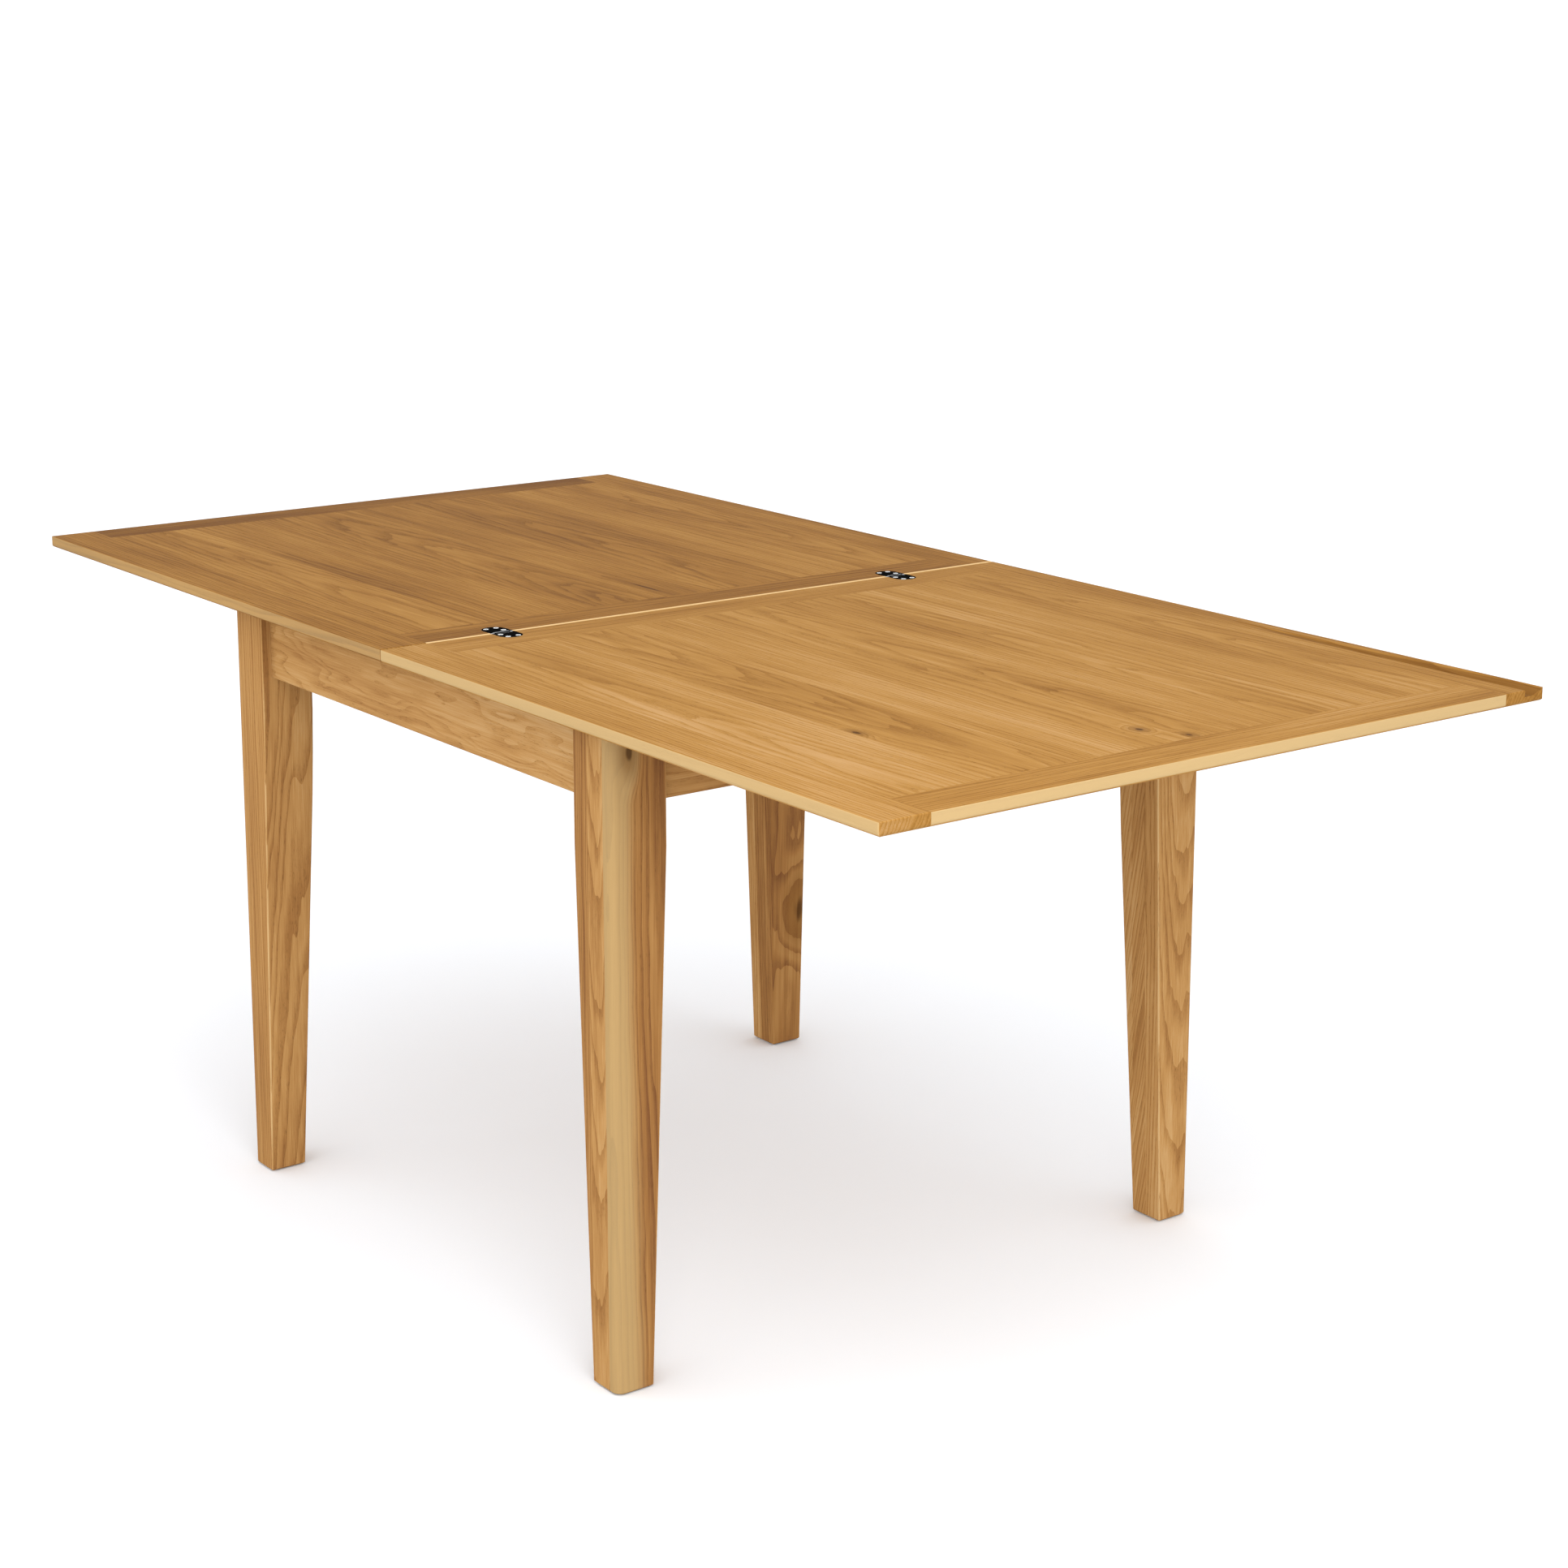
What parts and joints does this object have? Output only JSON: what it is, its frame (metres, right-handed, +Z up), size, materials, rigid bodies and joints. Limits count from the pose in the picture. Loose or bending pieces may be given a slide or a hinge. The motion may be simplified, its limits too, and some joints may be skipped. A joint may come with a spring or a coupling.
{
  "type": "flip-top extending table",
  "caption": "Square four-legged oak table whose hinged leaf folds over onto the other; the stacked top then turns a quarter turn on an off-centre pivot to sit square.",
  "frame": {"origin": "on the floor under the middle of the frame, with the top open", "axes": "+X along the open top towards the flip leaf, +Y along the joint towards the edge with the finger groove, +Z up"},
  "size_m": [1.8, 0.9, 0.75],
  "materials": {
    "oak_planks": "satin oiled oak, planks edge to edge",
    "oak_bands": "satin oiled solid oak bands",
    "oak_legs": "satin oiled oak, glued staves",
    "oak_aprons": "satin oiled oak",
    "oak_inner": "plain sanded oak",
    "beech": "turned beech dowel",
    "black_steel": "black painted steel",
    "zinc_steel": "bright zinc plated",
    "nylon": "moulded nylon",
    "felt": "pressed felt"
  },
  "bodies": {
    "frame": {"front_left_leg": "oak_legs", "front_right_leg": "oak_legs", "back_left_leg": "oak_legs", "back_right_leg": "oak_legs", "front_apron": "oak_aprons", "back_apron": "oak_aprons", "left_apron": "oak_aprons", "right_apron": "oak_aprons", "front_left_brace": "oak_inner", "front_right_brace": "oak_inner", "back_left_brace": "oak_inner", "back_right_brace": "oak_inner", "apron_dowels": "beech", "brace_screws": "zinc_steel", "hanger_bolts": "zinc_steel", "hanger_washers": "zinc_steel", "hanger_nuts": "zinc_steel", "cross_rail": "oak_inner", "front_cleat": "oak_inner", "back_cleat": "oak_inner", "rail_screws": "zinc_steel", "cleat_screws": "zinc_steel", "pivot_bush": "nylon", "top_glides": "felt", "foot_glides": "nylon"},
    "fixed_leaf": {"fixed_panel": "oak_planks", "fixed_front_band": "oak_bands", "fixed_back_band": "oak_bands", "fixed_end_band": "oak_bands", "fixed_joint_band": "oak_bands", "front_hinge_fixed_plate": "black_steel", "back_hinge_fixed_plate": "black_steel", "fixed_hinge_pins": "zinc_steel", "fixed_hinge_screws": "zinc_steel", "pivot_plate": "zinc_steel", "pivot_plate_screws": "zinc_steel", "pivot_stud": "zinc_steel", "pivot_washer": "zinc_steel", "pivot_nut": "zinc_steel", "stop_pin": "zinc_steel"},
    "hinge_links": {"front_hinge_link": "black_steel", "back_hinge_link": "black_steel"},
    "flip_leaf": {"flip_panel": "oak_planks", "flip_front_band": "oak_bands", "flip_back_band": "oak_bands", "flip_end_band": "oak_bands", "flip_joint_band": "oak_bands", "front_hinge_flip_plate": "black_steel", "back_hinge_flip_plate": "black_steel", "flip_hinge_pins": "zinc_steel", "flip_hinge_screws": "zinc_steel"}
  },
  "joints": [
    {"name": "top_swivel", "type": "hinge", "parent": "frame", "child": "fixed_leaf", "pos_m": [-0.225, 0.225, 0.735], "axis": [0, 0, 1], "range_deg": [0, 90]},
    {"name": "link_turn", "type": "hinge", "parent": "fixed_leaf", "child": "hinge_links", "pos_m": [-0.0019, 0, 0.7484], "axis": [0, -1, 0], "range_deg": [0, 90]},
    {"name": "leaf_fold", "type": "hinge", "parent": "fixed_leaf", "child": "flip_leaf", "pos_m": [0, 0, 0.7503], "axis": [0, -1, 0], "range_deg": [0, 180]}
  ],
  "couplings": [
    {"joint": "link_turn", "follows": "leaf_fold", "ratio": 0.5}
  ]
}
